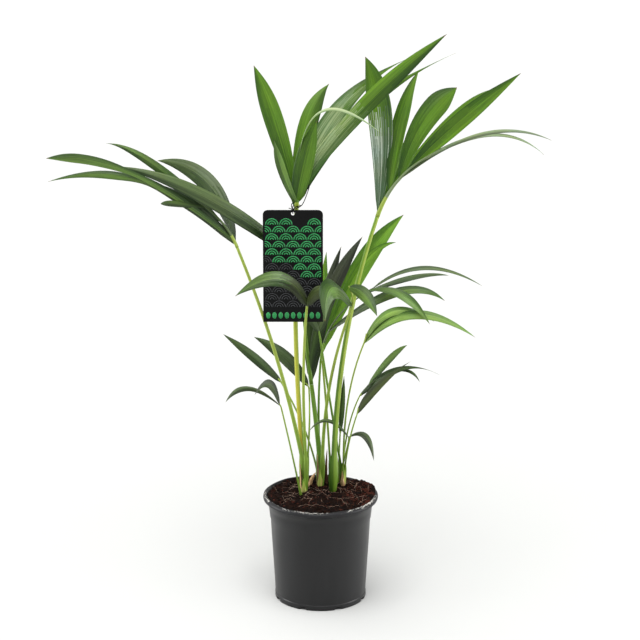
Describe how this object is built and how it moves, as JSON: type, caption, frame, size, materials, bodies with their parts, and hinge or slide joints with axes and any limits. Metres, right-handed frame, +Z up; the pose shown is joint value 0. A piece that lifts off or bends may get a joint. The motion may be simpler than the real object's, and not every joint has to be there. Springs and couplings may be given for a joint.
{
  "type": "potted kentia palm",
  "caption": "Young feather palm in a round grower's pot: clumped leaf sheaths, slender petioles, pinnate fronds with long tapering leaflets, and a hang card.",
  "frame": {"origin": "centre of the pot's flat underside, where the pot stands", "axes": "+Z up, -Y towards the side that the picture shows, +X to the right of that view"},
  "size_m": [0.7944, 0.3759, 0.9525],
  "materials": {
    "pot": "satin",
    "soil": "matte",
    "card": "satin",
    "tie": "matte",
    "sheath": "matte",
    "dry_sheath": "matte",
    "petiole": "satin",
    "frond_bright": "satin",
    "frond_grey": "satin",
    "frond_dark": "satin"
  },
  "bodies": {
    "root": {"pot": "pot", "soil": "soil", "card": "card", "dry_sheath": "dry_sheath", "stem_left": "sheath", "stem_middle": "sheath", "stem_right": "sheath", "stem_small": "sheath", "petiole_left_high": "petiole", "frond_left_high": "frond_grey", "petiole_centre_high": "petiole", "frond_centre_high": "frond_bright", "petiole_right_high": "petiole", "frond_right_high": "frond_bright", "petiole_centre_dark": "petiole", "frond_centre_dark": "frond_dark", "petiole_right_arching": "petiole", "frond_right_arching": "frond_dark", "petiole_centre_bright": "petiole", "frond_centre_bright": "frond_bright", "petiole_centre_folded": "petiole", "frond_centre_folded": "frond_grey", "petiole_right_bright": "petiole", "frond_right_bright": "frond_bright", "petiole_right_low": "petiole", "frond_right_low": "frond_dark", "petiole_right_lower": "petiole", "frond_right_lower": "frond_dark", "petiole_front_low": "petiole", "frond_front_low": "frond_dark", "petiole_left_low": "petiole", "frond_left_low": "frond_dark", "petiole_back_left": "petiole", "frond_back_left": "frond_dark", "petiole_back_inner": "petiole", "frond_back_inner": "frond_dark", "petiole_front_left": "petiole", "frond_front_left": "frond_grey", "petiole_front_right": "petiole", "frond_front_right": "frond_grey", "petiole_spear": "petiole", "frond_spear": "frond_dark", "petiole_back_right": "petiole", "frond_back_right": "frond_bright", "petiole_back_centre": "petiole", "frond_back_centre": "frond_bright", "card_tie": "tie"}
  },
  "joints": []
}
